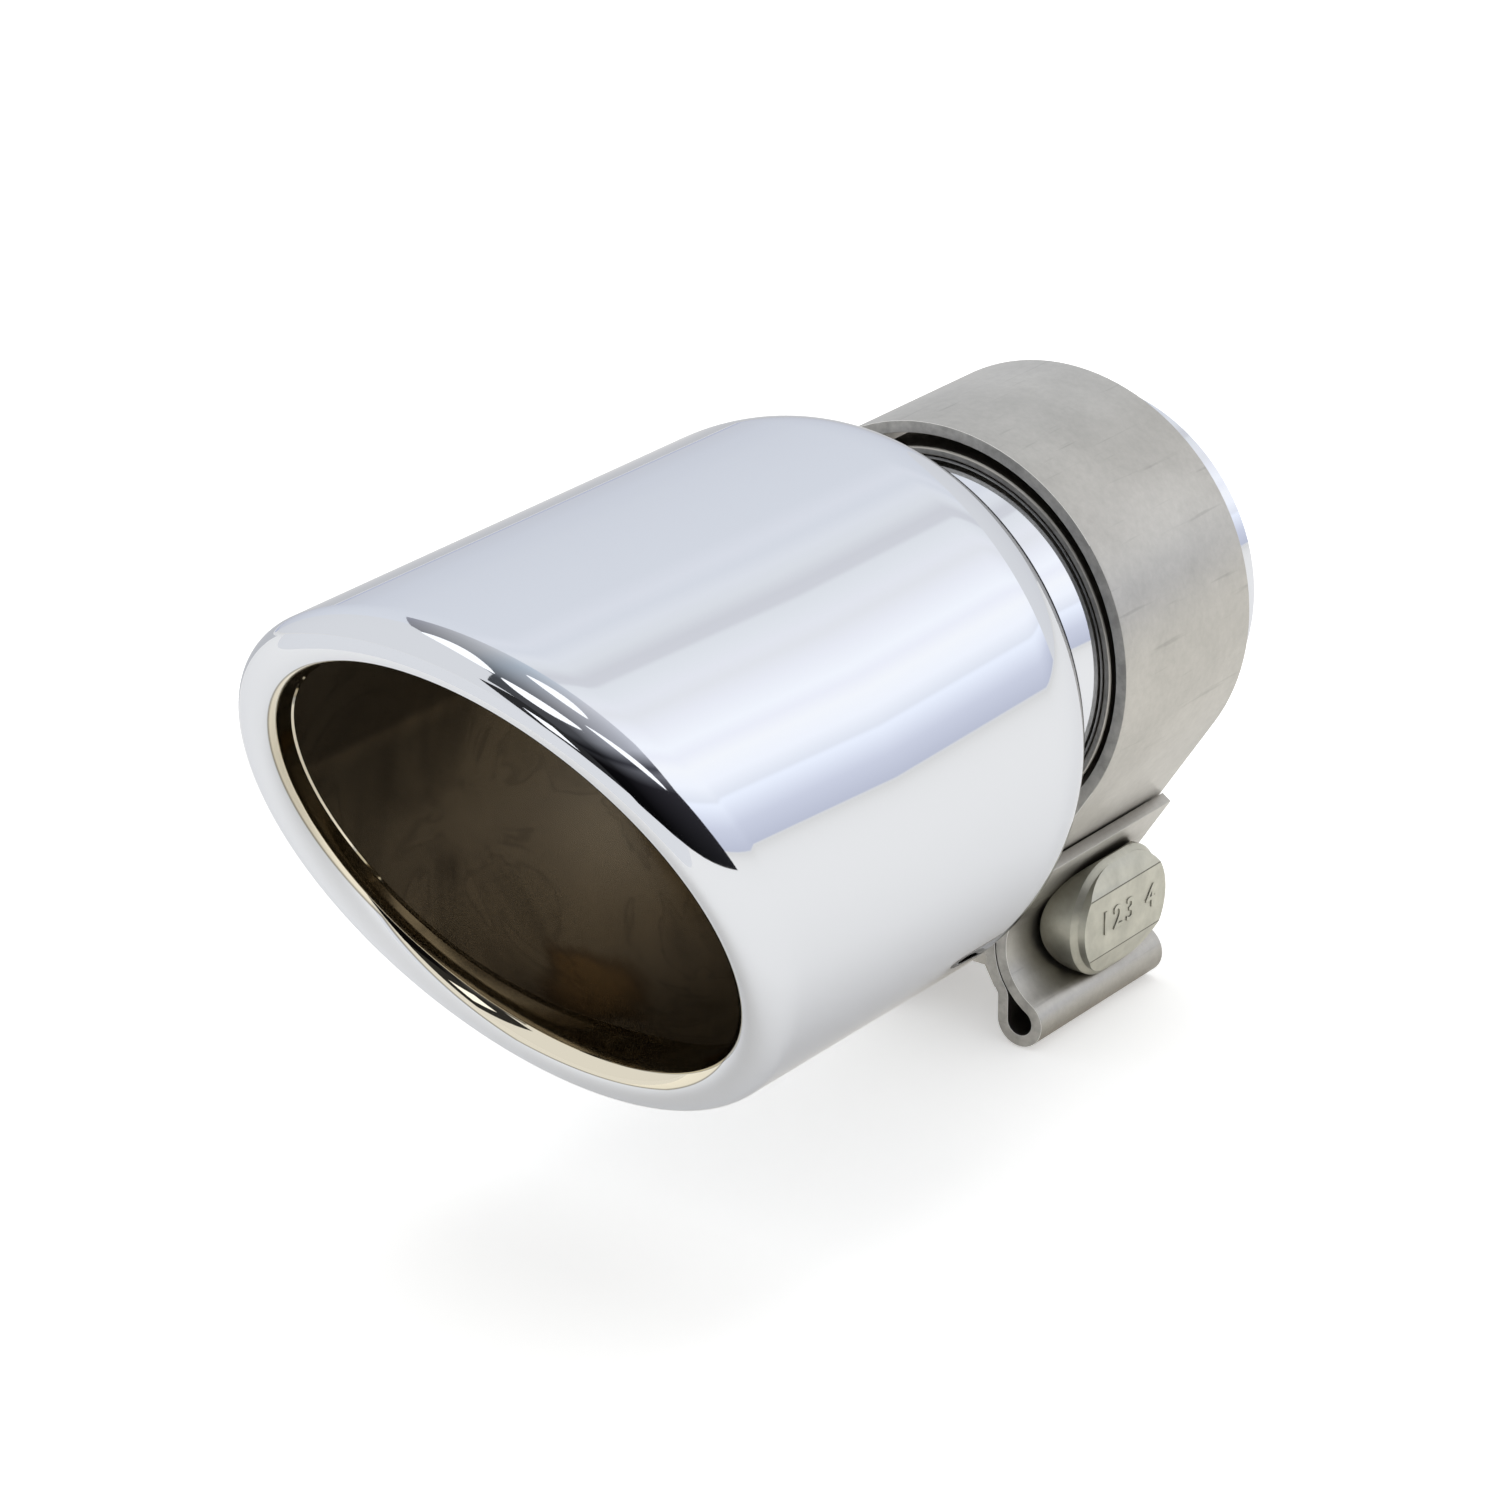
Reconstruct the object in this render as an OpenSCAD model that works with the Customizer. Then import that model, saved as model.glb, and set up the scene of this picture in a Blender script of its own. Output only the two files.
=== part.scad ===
// Clamp-on exhaust tip: a round chromed shell with a slanted, rolled mouth and a drawn neck,
// held on the tail pipe by a band clamp with two folded ears and a T-head bolt.
// +Y runs along the tip's axis towards the pipe, +Z is up, and the origin is the centre of the neck's rear end.

/* [Shell] */
// Outside diameter of the round body
body_d = 80.4; // [72:0.2:96]
// Thickness of the shell's sheet
shell_wall = 1.2; // [0.8:0.1:1.6]
// Distance on the axis from the neck's rear end to the middle of the slanted cut
cut_from_rear = 135; // [130:1:180]
// Slant of the mouth, top edge forward
cut_slant = 28.5; // [0:0.5:32]
// Distance from the neck's rear end to the back of the shoulder
shoulder_from_rear = 54.8; // [50:0.2:60]
// Length of the shoulder's curve along the axis
shoulder_len = 16.2; // [10:0.2:20]
// Outside radius of the curve from the shoulder into the neck
neck_fillet = 2.5; // [1.5:0.1:4]
// Bore of the neck, over the tail pipe
neck_bore = 50.8; // [48:0.2:54]

/* [Rolled lip] */
// Width of the rolled lip, from the body's wall to the throat
lip_w = 6.8; // [5:0.2:9]
// How far the roll bulges ahead of its middle line
lip_bulge = 2.7; // [2:0.1:4]
// Length of the turned-back skin at the sides
hem_side = 2.8; // [1.5:0.1:4]
// Length of the turned-back skin at its longest, low in the mouth
hem_low = 6.8; // [4:0.1:9]
// Direction of the longest turned-back skin, seen from the front
hem_low_angle = -82; // [-110:1:-70]

/* [Sleeve] */
// Thickness of the sleeve's sheet
sleeve_t = 1.2; // [0.8:0.1:1.5]
// Length of the sleeve
sleeve_len = 30; // [24:0.5:31]
// Radial clearance of the sleeve on the neck
sleeve_gap = 0.05; // [0.02:0.01:0.1]

/* [Clamp band] */
// Radial play between the loose band and the sleeve
band_play = 1.45; // [0.8:0.05:2]
// Thickness of the band's sheet
band_t = 1.7; // [1.4:0.1:2]
// Width of the band along the axis
band_w = 31.5; // [28:0.5:36]
// Distance from the neck's rear end to the band's rear edge
band_from_rear = 7.8; // [5:0.2:12]
// Sideways offset of the loose band from the tip's axis
band_off_x = -0.55; // [-0.6:0.05:0.6]
// Upward offset of the loose band from the tip's axis
band_off_z = 0.35; // [0:0.05:0.4]
// Angle below level at which the band leaves the round
run_angle = 33.2; // [32:0.2:35]

/* [Ears] */
// Half the distance between the two folds at their waist
ear_x = 10.45; // [9.8:0.05:11]
// Radius of the trough that seats the bolt head
trough_r = 10.85; // [10.5:0.05:11.2]
// Angle round the trough at which the outer layer turns into the loop
turn_angle = 59; // [56:0.5:63]
// Inside radius of the loop
loop_r = 2; // [1.8:0.1:2.1]
// Inside radius of the bend from the trough to the loop
bend_r = 1; // [0.6:0.1:1.4]
// Gap between the two layers of the fold
layer_gap = 0.2; // [0.1:0.05:0.3]
// Length of the folded layer's straight, from the trough up to its end
fold_rise = 9.8; // [8:0.2:11]
// Length of the slot for the bolt along the band's width
slot_len = 15; // [14.2:0.2:18]
// Width of the slot
slot_w = 10; // [9.6:0.1:10.6]

/* [Bolt] */
// Diameter of the shank
bolt_d = 8; // [7:0.5:8]
// Radius of the head's rounded back, and of the saddle's
back_r = 10.5; // [10.2:0.1:10.8]
// Thickness of the head from its back to its flat top
head_t = 7; // [6:0.1:8]
// Length of the head along the band's width
head_len = 22.6; // [20:0.2:24]
// Width of the head across the band
head_w = 17.6; // [16:0.2:17.8]
// Width of the flat top
head_top_w = 9.2; // [7:0.2:10]
// Fall of the two sloping sides of the head
head_fall = 1.2; // [0.8:0.1:1.6]
// Depth and width of the broken edge round the head
head_edge = 0.8; // [0.4:0.1:1]
// Height of the loose bolt above the trough's centre
bolt_lift = 0.65; // [0.55:0.05:0.8]
// Shift of the bolt from the middle of the band's width, towards the neck's end
bolt_shift = 3; // [-3:0.1:3]
// Clearance of the head and the saddle on the ears
seat_gap = 0.05; // [0.02:0.01:0.1]
// Shank left beyond the nut
bolt_stickout = 4; // [1:0.5:8]

/* [Nut, saddle and spacer] */
// Thickness of the saddle from its back to its flat
saddle_t = 5; // [4:0.1:6]
// Length of the saddle
saddle_len = 20; // [16:0.5:24]
// Width of the nut across flats
nut_af = 13; // [12:0.5:14]
// Height of the nut with its flange
nut_h = 8; // [6:0.5:10]
// Diameter of the nut's flange
nut_flange_d = 17; // [15:0.5:18]
// Height of the nut's flange
nut_flange_h = 1.8; // [1:0.1:2.5]
// Radial clearance round the shank
bolt_gap = 0.3; // [0.1:0.05:0.3]
// Clearance between the spacer and the ears
spacer_gap = 0.1; // [0.05:0.05:0.2]
// Distance between the spacer's ends and the band's edges
spacer_inset = 3; // [2:0.5:6]
// Top of the spacer above the trough's centre
spacer_rise = 6.8; // [5:0.1:7]
// Bottom of the spacer's middle below the trough's centre
spacer_web = 5.3; // [5:0.1:6]
// Bottom of the spacer's feet below the trough's centre
spacer_foot = 8.3; // [7:0.1:9]
// Width of one foot at its bottom
spacer_foot_w = 2.5; // [2:0.1:3.5]
// Slant of the feet's inner sides, from straight down
spacer_flare = 30; // [15:1:40]

/* [Hidden] */
$fn = 180;
// how far one solid reaches into another of the same piece, or past what it cuts
overlap = 1;

body_r = body_d / 2;
bore_r = neck_bore / 2;
neck_r = bore_r + shell_wall;
slope = -tan(cut_slant);

// rolled lip: half-widths of its section, and the radius of its middle line
roll_w = lip_w / 2;
roll_path_r = body_r - roll_w;
lip_parts = 96;
roll_steps = 12;
inner_steps = 8;
// the lip's facets stay this far inside the true round wall where the two meet
facet_sink = 0.03;
// the wall is round behind this place, and the slanted part is lofted ahead of it
loft_end = -cut_from_rear + (-slope) * roll_path_r + hem_low;

sleeve_front = -band_from_rear - band_w;
sleeve_r = neck_r + sleeve_gap + sleeve_t;

band_r = sleeve_r + band_play + band_t;
band_mid_y = -band_from_rear - band_w / 2;
// middle surface between the two layers of an ear, and the trough's centre beside it
ply = band_r + layer_gap / 2;
trough_x = ear_x + trough_r;
trough_z = -(ply + trough_r - trough_x * cos(run_angle)) / sin(run_angle);
// skins of the two layers that face each other in the trough, and the skin that the bolt head meets
inner_skin_r = trough_r + layer_gap / 2;
outer_skin_r = trough_r - layer_gap / 2;
seat_skin_r = outer_skin_r - band_t;
// the loop's hole touches the outer layer's skin from outside
loop_x = trough_x - (outer_skin_r + loop_r) * cos(turn_angle);
loop_z = trough_z - (outer_skin_r + loop_r) * sin(turn_angle);
// the inner layer leaves the trough here and bends straight down to the loop
bend_path_r = inner_skin_r + band_t + bend_r;
bend_angle = acos((trough_x - loop_x + loop_r + band_t + bend_r) / bend_path_r);
bend_x = trough_x - bend_path_r * cos(bend_angle);
bend_z = trough_z - bend_path_r * sin(bend_angle);
// tongue by which each ear is joined to the band's round, inside the sheet
tongue_len = 1;
tongue_inset = 0.3;
trough_steps = 20;
bend_steps = 6;
loop_steps = 24;

// the head's rounded back lies against the straight of its ear
bolt_y = band_mid_y + bolt_shift;
bolt_z = trough_z + bolt_lift;
back_x = trough_x + (back_r + seat_gap - seat_skin_r + bolt_lift * sin(run_angle)) / cos(run_angle);
head_top_x = back_x - back_r + head_t;
nut_seat_x = back_x - back_r + saddle_t;

// point at an angle on a circle in the X-Z plane
function on_circle(c, r, a) = [c[0] + r * cos(a), c[1] + r * sin(a)];
// points along an arc
function arc(c, r, from, to, steps) = [for (i = [0:steps]) on_circle(c, r, from + (to - from) * i / steps)];

// middle line of the rolled lip, and its forward direction, square to that line
function roll_mid(a) = [roll_path_r * cos(a), -cut_from_rear + slope * roll_path_r * sin(a),
    roll_path_r * sin(a)];
function roll_out(a) = [cos(a), 0, sin(a)];
function roll_fwd(a) = [-slope * sin(a) * cos(a), -1, slope * pow(cos(a), 2)] / sqrt(1 + pow(slope * cos(a), 2));
function roll_point(a, w, bulge, u) = roll_mid(a) + w * cos(u) * roll_out(a) + bulge * sin(u) * roll_fwd(a);
function hem_len(a) = hem_side + (hem_low - hem_side) * pow(max(0, cos(a - hem_low_angle)), 6);
function hem_point(a, r) = [r * cos(a), roll_mid(a)[1] + hem_len(a), r * sin(a)];
function wall_point(a, r) = [r * cos(a), loft_end + overlap, r * sin(a)];

// one ring of the lip's skin, numbered from the outer wall over the roll, into the mouth and back inside
function skin_point(i, a) =
    i <= roll_steps ? roll_point(a, roll_w, lip_bulge, 180 * i / roll_steps)
    : i == roll_steps + 1 ? hem_point(a, body_r - lip_w)
    : i == roll_steps + 2 ? hem_point(a, body_r - lip_w + shell_wall)
    : i <= roll_steps + 3 + inner_steps
        ? roll_point(a, roll_w - shell_wall, lip_bulge - shell_wall,
            180 - 180 * (i - roll_steps - 3) / inner_steps)
    : i == roll_steps + inner_steps + 4 ? wall_point(a, body_r - shell_wall + 2 * facet_sink)
    : wall_point(a, body_r - facet_sink);

module lip_loft() {
    rings = roll_steps + inner_steps + 6;
    points = [for (i = [0:rings - 1]) for (j = [0:lip_parts - 1]) skin_point(i, 360 * j / lip_parts)];
    function at(i, j) = (i % rings) * lip_parts + (j % lip_parts);
    faces = [for (i = [0:rings - 1]) for (j = [0:lip_parts - 1])
        each [[at(i, j), at(i + 1, j + 1), at(i, j + 1)], [at(i, j), at(i + 1, j), at(i + 1, j + 1)]]];
    polyhedron(points, faces, convexity = 10);
}

// the round part of the shell: wall, shoulder and neck in one turned section
module round_shell() {
    shoulder_r = neck_r + neck_fillet;
    shoulder_mid_y = -shoulder_from_rear - shoulder_len;
    fillet_mid = [shoulder_r, -shoulder_from_rear + neck_fillet];
    function shoulder(inset) = [for (u = [0:5:90])
        [shoulder_r + (body_r - shoulder_r - inset) * cos(u), shoulder_mid_y + (shoulder_len - inset) * sin(u)]];
    function fillet(inset) = [for (v = [15:15:90])
        [fillet_mid[0] - (neck_fillet + inset) * sin(v), fillet_mid[1] - (neck_fillet + inset) * cos(v)]];
    outside = concat([[body_r, loft_end]], shoulder(0), fillet(0), [[neck_r, 0]]);
    inside = concat([[body_r - shell_wall, loft_end]], shoulder(shell_wall), fillet(shell_wall), [[bore_r, 0]]);
    rotate([-90, 0, 0])
        rotate_extrude()
            polygon(concat(outside, [for (i = [len(inside) - 1:-1:0]) inside[i]]));
}

module tip_shell() {
    color("gainsboro")
        union() {
            round_shell();
            lip_loft();
        }
}

module sleeve() {
    color("dimgray")
        translate([0, sleeve_front, 0])
            rotate([-90, 0, 0])
                difference() {
                    cylinder(r = sleeve_r, h = sleeve_len);
                    translate([0, 0, -overlap])
                        cylinder(r = neck_r + sleeve_gap, h = sleeve_len + 2 * overlap);
                }
}

// extrudes a section of the clamp, drawn as X and Z, over a stretch of the band's width
module along_band(from, to) {
    translate([0, to, 0])
        rotate([90, 0, 0])
            linear_extrude(to - from)
                children();
}

// outline of one ear: down the trough, round the loop and back up outside, then the same way back on the other skin
module ear_section() {
    out = [cos(run_angle), -sin(run_angle)];
    up = [sin(run_angle), cos(run_angle)];
    trough = [trough_x, trough_z];
    bend = [bend_x, bend_z];
    loop = [loop_x, loop_z];
    run_start = band_r * out;
    fold_end = trough - outer_skin_r * out + fold_rise * up;
    polygon(concat(
        [run_start],
        arc(trough, inner_skin_r, 180 - run_angle, 180 + bend_angle, trough_steps),
        arc(bend, bend_r + band_t, bend_angle, 0, bend_steps),
        arc(loop, loop_r, 180, 360 + turn_angle, loop_steps),
        arc(trough, outer_skin_r, 180 + turn_angle, 180 - run_angle, trough_steps),
        [fold_end, fold_end + band_t * out],
        arc(trough, seat_skin_r, 180 - run_angle, 180 + turn_angle, trough_steps),
        arc(loop, loop_r + band_t, 360 + turn_angle, 180, loop_steps),
        arc(bend, bend_r, 0, bend_angle, bend_steps),
        arc(trough, inner_skin_r + band_t, 180 + bend_angle, 180 - run_angle, trough_steps),
        [run_start - band_t * out, run_start - (1 - tongue_inset) * band_t * out,
            run_start - (1 - tongue_inset) * band_t * out + tongue_len * up,
            run_start - tongue_inset * band_t * out + tongue_len * up, run_start - tongue_inset * band_t * out]));
}

// the band's round, left open between the two ears
module band_round() {
    reach = 2 * band_r;
    along_band(band_mid_y - band_w / 2, band_mid_y + band_w / 2)
        difference() {
            circle(band_r);
            circle(band_r - band_t);
            polygon(concat([[0, 0]], arc([0, 0], reach, 180 + run_angle, 360 - run_angle, 4)));
        }
}

// one ear over the band's whole width
module ear() {
    along_band(band_mid_y - band_w / 2, band_mid_y + band_w / 2)
        ear_section();
}

// places a clamp piece round the loose band's own centre
module at_band() {
    translate([band_off_x, 0, band_off_z])
        children();
}

// rounded slot across both ears, for the shank
module bolt_slot() {
    reach = trough_x + trough_r;
    straight = slot_len - slot_w;
    translate([-reach, band_mid_y, trough_z])
        rotate([0, 90, 0])
            linear_extrude(2 * reach)
                union() {
                    square([slot_w, straight], center = true);
                    for (side = [-1, 1])
                        translate([0, side * straight / 2])
                            circle(d = slot_w);
                }
}

module clamp_band() {
    color("darkgray")
        at_band()
            difference() {
                union() {
                    band_round();
                    ear();
                    mirror([1, 0, 0])
                        ear();
                }
                bolt_slot();
            }
}

// head with a rounded back, flat on top with two sloping sides
module head_section() {
    foot_x = head_top_x - head_fall;
    half = [[0, head_w], [foot_x, head_w], [foot_x, head_w / 2 - head_edge], [head_top_x, head_top_w / 2]];
    translate([0, bolt_z])
        intersection() {
            translate([back_x, 0])
                circle(back_r);
            polygon(concat(half, [for (i = [len(half) - 1:-1:0]) [half[i][0], -half[i][1]]]));
        }
}

// plan of the head between two heights, with straight sides and round ends, its outline drawn in at the top
module head_plan(from, to, inset, top_inset) {
    straight = head_len - head_w;
    low = head_w / 2 - inset;
    high = head_w / 2 - top_inset;
    translate([from, bolt_y, bolt_z])
        union() {
            rotate([90, 0, 0])
                translate([0, 0, -straight / 2])
                    linear_extrude(straight)
                        polygon([[0, -low], [to - from, -high], [to - from, high], [0, low]]);
            for (side = [-1, 1])
                translate([0, side * straight / 2, 0])
                    rotate([0, 90, 0])
                        cylinder(r1 = low, r2 = high, h = to - from);
        }
}

module t_bolt() {
    shank_top = head_top_x - head_t / 2;
    shank_len = shank_top + nut_seat_x + nut_h + bolt_stickout;
    edge_x = head_top_x - head_fall - head_edge;
    chamfer = bolt_d / 10;
    color("darkseagreen")
        at_band()
            union() {
                intersection() {
                    along_band(bolt_y - head_len, bolt_y + head_len)
                        head_section();
                    union() {
                        head_plan(0, edge_x, 0, 0);
                        head_plan(edge_x, edge_x + head_edge, 0, head_edge);
                        head_plan(edge_x + head_edge, head_top_x + overlap, head_edge, head_edge);
                    }
                }
                translate([shank_top, bolt_y, bolt_z])
                    rotate([0, -90, 0])
                        rotate_extrude()
                            polygon([[0, 0], [bolt_d / 2, 0], [bolt_d / 2, shank_len - chamfer],
                                [bolt_d / 2 - chamfer, shank_len], [0, shank_len]]);
            }
}

// hole for the shank through the pieces that it holds
module shank_hole(clearance) {
    reach = trough_x + trough_r;
    translate([-reach, bolt_y, bolt_z])
        rotate([0, 90, 0])
            cylinder(r = bolt_d / 2 + clearance, h = 2 * reach);
}

// bar with a rounded back in the far trough, flat for the nut
module saddle() {
    color("silver")
        at_band()
            difference() {
                along_band(bolt_y - saddle_len / 2, bolt_y + saddle_len / 2)
                    intersection() {
                        translate([-back_x, bolt_z])
                            circle(back_r);
                        translate([-nut_seat_x, bolt_z - head_w / 2])
                            square([nut_seat_x, head_w]);
                    }
                shank_hole(bolt_gap);
            }
}

module flange_nut() {
    color("silver")
        at_band()
            difference() {
                translate([-nut_seat_x, bolt_y, bolt_z])
                    rotate([0, -90, 0])
                        union() {
                            cylinder(d = nut_flange_d, h = nut_flange_h);
                            cylinder(d = nut_af / cos(30), h = nut_h, $fn = 6);
                        }
                shank_hole(seat_gap);
            }
}

// waisted block that keeps the ears apart, standing on two feet
module spacer_section() {
    ear_clear = inner_skin_r + band_t + spacer_gap;
    half_top = trough_x - trough_r;
    foot_x = bend_x + bend_r - spacer_gap;
    web_x = foot_x - spacer_foot_w - (spacer_foot - spacer_web) * tan(spacer_flare);
    half = [[half_top, spacer_rise], [half_top, 0], [foot_x, -trough_r / 2], [foot_x, -spacer_foot],
        [foot_x - spacer_foot_w, -spacer_foot], [web_x, -spacer_web]];
    translate([0, trough_z])
        difference() {
            polygon(concat(half, [for (i = [len(half) - 1:-1:0]) [-half[i][0], half[i][1]]]));
            for (side = [-1, 1])
                translate([side * trough_x, 0])
                    circle(ear_clear);
        }
}

module spacer() {
    color("slategray")
        at_band()
            difference() {
                along_band(band_mid_y - band_w / 2 + spacer_inset, band_mid_y + band_w / 2 - spacer_inset)
                    spacer_section();
                shank_hole(bolt_gap);
            }
}

tip_shell();
sleeve();
clamp_band();
t_bolt();
saddle();
flange_nut();
spacer();
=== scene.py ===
"""Dresses the clamp-on exhaust tip: chromed shell, sooted inside, clamp, bolt and a plain studio."""

import math

import bmesh
import bpy
from bpy.props import FloatProperty, FloatVectorProperty, IntProperty, PointerProperty, StringProperty
from mathutils import Matrix, Vector
from mathutils.kdtree import KDTree


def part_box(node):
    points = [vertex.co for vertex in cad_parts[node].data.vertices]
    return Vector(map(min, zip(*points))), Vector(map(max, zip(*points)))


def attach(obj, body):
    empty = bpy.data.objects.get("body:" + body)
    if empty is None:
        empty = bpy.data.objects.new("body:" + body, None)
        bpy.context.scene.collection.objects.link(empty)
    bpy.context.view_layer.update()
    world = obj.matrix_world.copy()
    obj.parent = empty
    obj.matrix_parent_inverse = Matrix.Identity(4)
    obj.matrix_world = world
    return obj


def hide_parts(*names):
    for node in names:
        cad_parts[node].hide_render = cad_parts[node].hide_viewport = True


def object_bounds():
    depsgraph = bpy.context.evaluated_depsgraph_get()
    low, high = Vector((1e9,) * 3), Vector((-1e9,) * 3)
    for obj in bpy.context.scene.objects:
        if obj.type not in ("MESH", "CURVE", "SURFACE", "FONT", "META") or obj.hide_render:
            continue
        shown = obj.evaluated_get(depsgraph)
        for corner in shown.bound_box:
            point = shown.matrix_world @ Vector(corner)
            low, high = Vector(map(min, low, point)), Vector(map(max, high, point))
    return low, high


bl_info = {
    "name": "Exhaust tip",
    "version": (1, 0, 0),
    "blender": (4, 2, 0),
    "location": "3D View > Sidebar > Exhaust tip",
    "description": "Builds the finished pieces of a clamp-on exhaust tip and its studio",
    "category": "Object",
}

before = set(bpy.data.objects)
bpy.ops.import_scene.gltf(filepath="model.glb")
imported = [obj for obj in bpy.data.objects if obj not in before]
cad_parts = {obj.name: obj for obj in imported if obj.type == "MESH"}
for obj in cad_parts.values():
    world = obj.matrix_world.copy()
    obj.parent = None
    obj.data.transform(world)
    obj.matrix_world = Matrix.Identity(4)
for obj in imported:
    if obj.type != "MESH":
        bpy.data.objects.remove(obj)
CAD_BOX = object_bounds()
MM = 0.001
SHELL_LOW, SHELL_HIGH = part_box("tip_shell")
BOLT_LOW, BOLT_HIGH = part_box("t_bolt")
NUT_LOW, NUT_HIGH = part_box("flange_nut")
BAND_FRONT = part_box("clamp_band")[0][1]
BAND_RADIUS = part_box("clamp_band")[1][2]


# --- colours and nodes


def linear(code):
    """Turns an sRGB colour such as #aabbcc to the linear values that a shader takes."""
    parts = [int(code[i:i + 2], 16) / 255 for i in (1, 3, 5)]
    return tuple(c / 12.92 if c <= 0.04045 else ((c + 0.055) / 1.055) ** 2.4 for c in parts)


def rgba(colour):
    """A shader colour from a property or a tuple of three."""
    return (colour[0], colour[1], colour[2], 1.0)


def node(tree, kind, inputs=None, **settings):
    """Adds a node, sets it, and sets or links its inputs."""
    made = tree.nodes.new(kind)
    for name, value in settings.items():
        setattr(made, name, value)
    for name, value in (inputs or {}).items():
        if isinstance(value, bpy.types.NodeSocket):
            tree.links.new(value, made.inputs[name])
        else:
            made.inputs[name].default_value = value
    return made


def empty_material(name):
    """A new material with an empty tree."""
    made = bpy.data.materials.new(name)
    made.use_nodes = True
    made.node_tree.nodes.clear()
    return made, made.node_tree


def material(name):
    """A new material with its tree, and its Principled shader wired to the output."""
    made, tree = empty_material(name)
    shader = node(tree, "ShaderNodeBsdfPrincipled")
    node(tree, "ShaderNodeOutputMaterial", {"Surface": shader.outputs[0]})
    return made, tree, shader


def colour_ramp(tree, factor, stops):
    """A ramp between colours at given places."""
    ramp = node(tree, "ShaderNodeValToRGB", {0: factor})
    band = ramp.color_ramp
    while len(band.elements) < len(stops):
        band.elements.new(0.5)
    for element, (place, colour) in zip(band.elements, stops):
        element.position = place
        element.color = rgba(colour)
    return ramp.outputs[0]


def shade(colour, share):
    """A colour times a share, to darken or to lighten it."""
    return [c * share for c in colour]


def multiplied(tree, tint, layers):
    """A colour times each layer of shade in turn."""
    for layer in layers:
        tint = node(tree, "ShaderNodeVectorMath", {0: tint, 1: layer}, operation="MULTIPLY").outputs[0]
    return tint


def seen_rays(tree):
    """Two switches: 1 for camera rays, and 1 for camera, mirrored and transmitted rays."""
    rays = node(tree, "ShaderNodeLightPath")
    either = node(tree, "ShaderNodeMath", {0: rays.outputs["Is Camera Ray"], 1: rays.outputs["Is Glossy Ray"]},
                  operation="MAXIMUM")
    seen = node(tree, "ShaderNodeMath", {0: either.outputs[0], 1: rays.outputs["Is Transmission Ray"]},
                operation="MAXIMUM")
    return rays.outputs["Is Camera Ray"], seen.outputs[0]


# --- settings


class ShellSettings(bpy.types.PropertyGroup):
    """Sizes and colours of the chromed shell."""

    body_radius: FloatProperty(name="Body radius", description="Outside radius of the round body",
                               default=SHELL_HIGH[0], unit="LENGTH")
    wall: FloatProperty(name="Wall", description="Thickness of the sheet", default=1.2 * MM, unit="LENGTH")
    bore: FloatProperty(name="Neck bore", description="Inside radius of the neck",
                        default=25.4 * MM, unit="LENGTH")
    shoulder_back: FloatProperty(name="Shoulder", description="From the neck's end to the shoulder",
                                 default=54.8 * MM, unit="LENGTH")
    shoulder_length: FloatProperty(name="Shoulder length", description="Length of the shoulder's curve",
                                   default=16.2 * MM, unit="LENGTH")
    fillet: FloatProperty(name="Neck fillet", description="Radius from the shoulder into the neck",
                          default=2.5 * MM, unit="LENGTH")
    waist: FloatProperty(name="Waist", description="How much slimmer the neck is at the shoulder than at the sleeve",
                         default=0.8 * MM, unit="LENGTH")
    neck_flare: FloatProperty(name="Neck flare", description="How much more the neck seems to widen to the sleeve",
                              default=0.235)
    cut: FloatProperty(name="Cut", description="From the neck's end to the middle of the mouth",
                       default=135 * MM, unit="LENGTH")
    slant: FloatProperty(name="Slant", description="Slant of the mouth, top edge forward",
                         default=math.radians(28.5), subtype="ANGLE")
    lip_width: FloatProperty(name="Lip width", description="From the body's wall to the throat",
                             default=6.8 * MM, unit="LENGTH")
    lip_bulge: FloatProperty(name="Lip bulge", description="How far the roll bulges ahead",
                             default=2.7 * MM, unit="LENGTH")
    lip_corner: FloatProperty(name="Lip corner", description="How far back the lip's outer corner starts",
                              default=6.5 * MM, unit="LENGTH")
    burr: FloatProperty(name="Burr", description="Height of the burr on the turned-back edge",
                        default=0.2 * MM, unit="LENGTH")
    hem_side: FloatProperty(name="Hem at the sides", description="Length of the turned-back skin",
                            default=2.8 * MM, unit="LENGTH")
    hem_low: FloatProperty(name="Hem at its longest", description="Length of the turned-back skin",
                           default=6.8 * MM, unit="LENGTH")
    hem_angle: FloatProperty(name="Hem direction", description="Where the turned-back skin is longest",
                             default=math.radians(-82), subtype="ANGLE")
    steps: IntProperty(name="Steps", description="Steps round the shell", default=288, min=48, max=480)
    chrome: FloatVectorProperty(name="Chrome", description="Colour of the plating", subtype="COLOR",
                                default=linear("#d4d7dd"))
    nickel: FloatVectorProperty(name="Nickel", description="Undercoat where the plating runs thin",
                                subtype="COLOR", default=linear("#dbd4c2"))
    soot: FloatVectorProperty(name="Soot", description="Dark film on the inside", subtype="COLOR",
                              default=linear("#958a76"))


class ClampSettings(bpy.types.PropertyGroup):
    """Finish of the clamp and the small parts."""

    edge: FloatProperty(name="Edge", description="Broken edge of the sheet", default=0.45 * MM, unit="LENGTH")
    forged_edge: FloatProperty(name="Forged edge", description="Round edges of the bolt's head",
                               default=0.5 * MM, unit="LENGTH")
    pitch: FloatProperty(name="Thread pitch", description="Pitch of the bolt's thread",
                         default=1.25 * MM, unit="LENGTH")
    digits: StringProperty(name="Digits", description="Plain number raised on the bolt's head", default="123 4")
    digit_height: FloatProperty(name="Digit height", description="Height of the digits",
                                default=3.5 * MM, unit="LENGTH")
    digit_rise: FloatProperty(name="Digit rise", description="How far the digits stand out",
                              default=0.10 * MM, unit="LENGTH")
    steel: FloatVectorProperty(name="Steel", description="Colour of the stainless sheet", subtype="COLOR",
                               default=linear("#bab8b3"))
    zinc: FloatVectorProperty(name="Zinc", description="Colour of the passivated zinc", subtype="COLOR",
                              default=linear("#c0bfb3"))


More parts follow.
